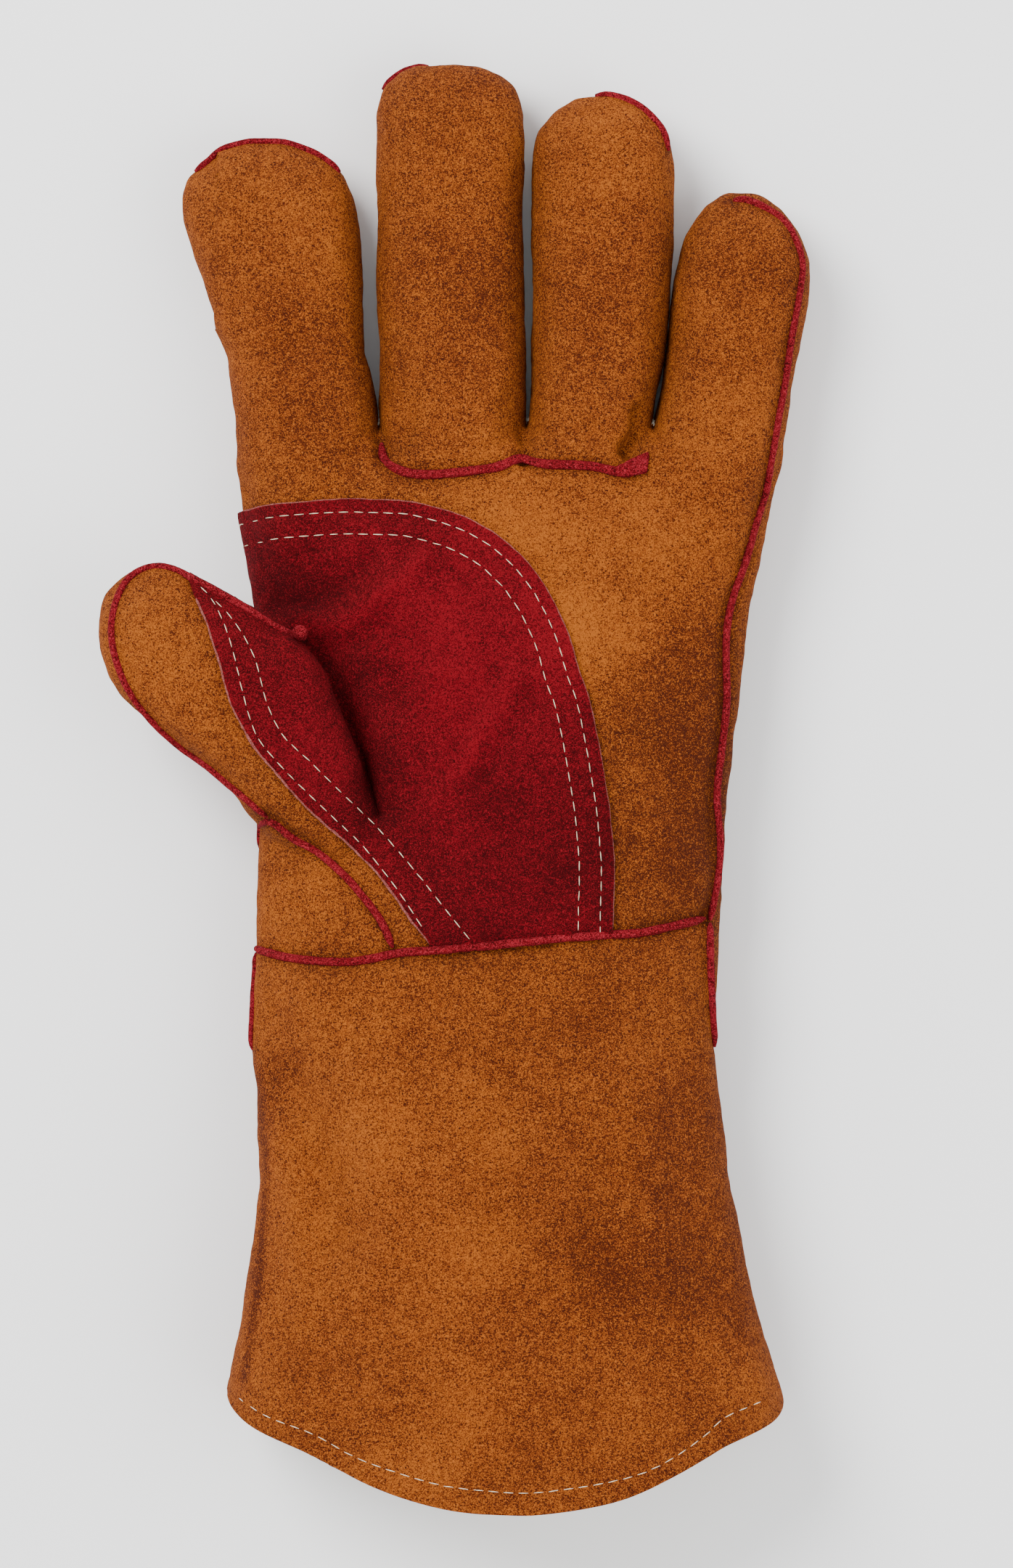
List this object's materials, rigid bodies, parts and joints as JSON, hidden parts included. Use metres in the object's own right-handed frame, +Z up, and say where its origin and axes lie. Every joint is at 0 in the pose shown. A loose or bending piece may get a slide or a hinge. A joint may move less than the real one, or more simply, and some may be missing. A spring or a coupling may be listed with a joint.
{
  "type": "welding glove",
  "caption": "Left-hand welder's gauntlet in golden brown split suede, with a red palm and thumb patch, red piped seams, cream double stitching and a flared cuff.",
  "frame": {"origin": "on the rest plane, under the middle of the palm, on the flat of the hand's back", "axes": "+Y towards the fingertips, +X towards the little finger, +Z up out of the palm"},
  "size_m": [0.1818, 0.3521, 0.058],
  "materials": {
    "tan_suede": "split suede, napped, blotchy golden brown",
    "red_suede": "split suede, napped, deep red",
    "red_piping": "thin folded leather, crimson",
    "sewing_thread": "twisted cream thread",
    "cotton_lining": "soft woven cotton fleece"
  },
  "bodies": {
    "hand": {"palm_leather": "tan_suede", "thumb_wing": "tan_suede", "palm_lining": "cotton_lining", "back_leather": "tan_suede", "back_lining": "cotton_lining", "palm_patch": "red_suede", "patch_thread_outer": "sewing_thread", "thenar_thread_outer": "sewing_thread", "patch_thread_inner": "sewing_thread", "thenar_thread_inner": "sewing_thread", "finger_base_piping": "red_piping", "ulnar_piping": "red_piping", "wing_piping": "red_piping", "thumb_root_front": "tan_suede", "thumb_root_back": "tan_suede", "thumb_root_lining": "cotton_lining", "thumb_root_patch": "red_suede"},
    "cuff": {"cuff_front": "tan_suede", "cuff_front_lining": "cotton_lining", "cuff_back": "tan_suede", "cuff_back_lining": "cotton_lining", "hem_thread": "sewing_thread", "cuff_ulnar_piping": "red_piping", "cuff_radial_piping": "red_piping", "wrist_piping": "red_piping"},
    "index": {"index_front": "tan_suede", "index_back": "tan_suede", "index_ulnar_wall": "tan_suede", "index_lining": "cotton_lining", "index_tip_piping": "red_piping"},
    "middle": {"middle_front": "tan_suede", "middle_back": "tan_suede", "middle_radial_wall": "tan_suede", "middle_ulnar_wall": "tan_suede", "middle_lining": "cotton_lining", "middle_tip_piping": "red_piping"},
    "ring": {"ring_front": "tan_suede", "ring_back": "tan_suede", "ring_radial_wall": "tan_suede", "ring_ulnar_wall": "tan_suede", "ring_lining": "cotton_lining", "ring_tip_piping": "red_piping"},
    "little": {"little_front": "tan_suede", "little_back": "tan_suede", "little_radial_wall": "tan_suede", "little_lining": "cotton_lining", "little_tip_piping": "red_piping"},
    "thumb": {"thumb_front": "tan_suede", "thumb_back": "tan_suede", "thumb_lining": "cotton_lining", "thumb_patch": "red_suede", "thumb_piping": "red_piping"}
  },
  "joints": [
    {"name": "index_bend", "type": "hinge", "parent": "hand", "child": "index", "pos_m": [-0.0474, 0.063, 0.034], "axis": [1, 0, 0], "range_deg": [0, 60]},
    {"name": "middle_bend", "type": "hinge", "parent": "hand", "child": "middle", "pos_m": [-0.0115, 0.063, 0.034], "axis": [1, 0, 0], "range_deg": [0, 60]},
    {"name": "ring_bend", "type": "hinge", "parent": "hand", "child": "ring", "pos_m": [0.0226, 0.063, 0.034], "axis": [1, 0, 0], "range_deg": [0, 60]},
    {"name": "little_bend", "type": "hinge", "parent": "hand", "child": "little", "pos_m": [0.0543, 0.063, 0.034], "axis": [1, 0, 0], "range_deg": [0, 60]},
    {"name": "thumb_forward", "type": "hinge", "parent": "hand", "child": "thumb", "pos_m": [-0.057, 0, 0.0575], "axis": [0, 1, 0], "range_deg": [0, 35]},
    {"name": "wrist_bend", "type": "hinge", "parent": "hand", "child": "cuff", "pos_m": [0, -0.0523, 0.0435], "axis": [-0.9964, -0.0847, 0], "range_deg": [0, 35]}
  ]
}
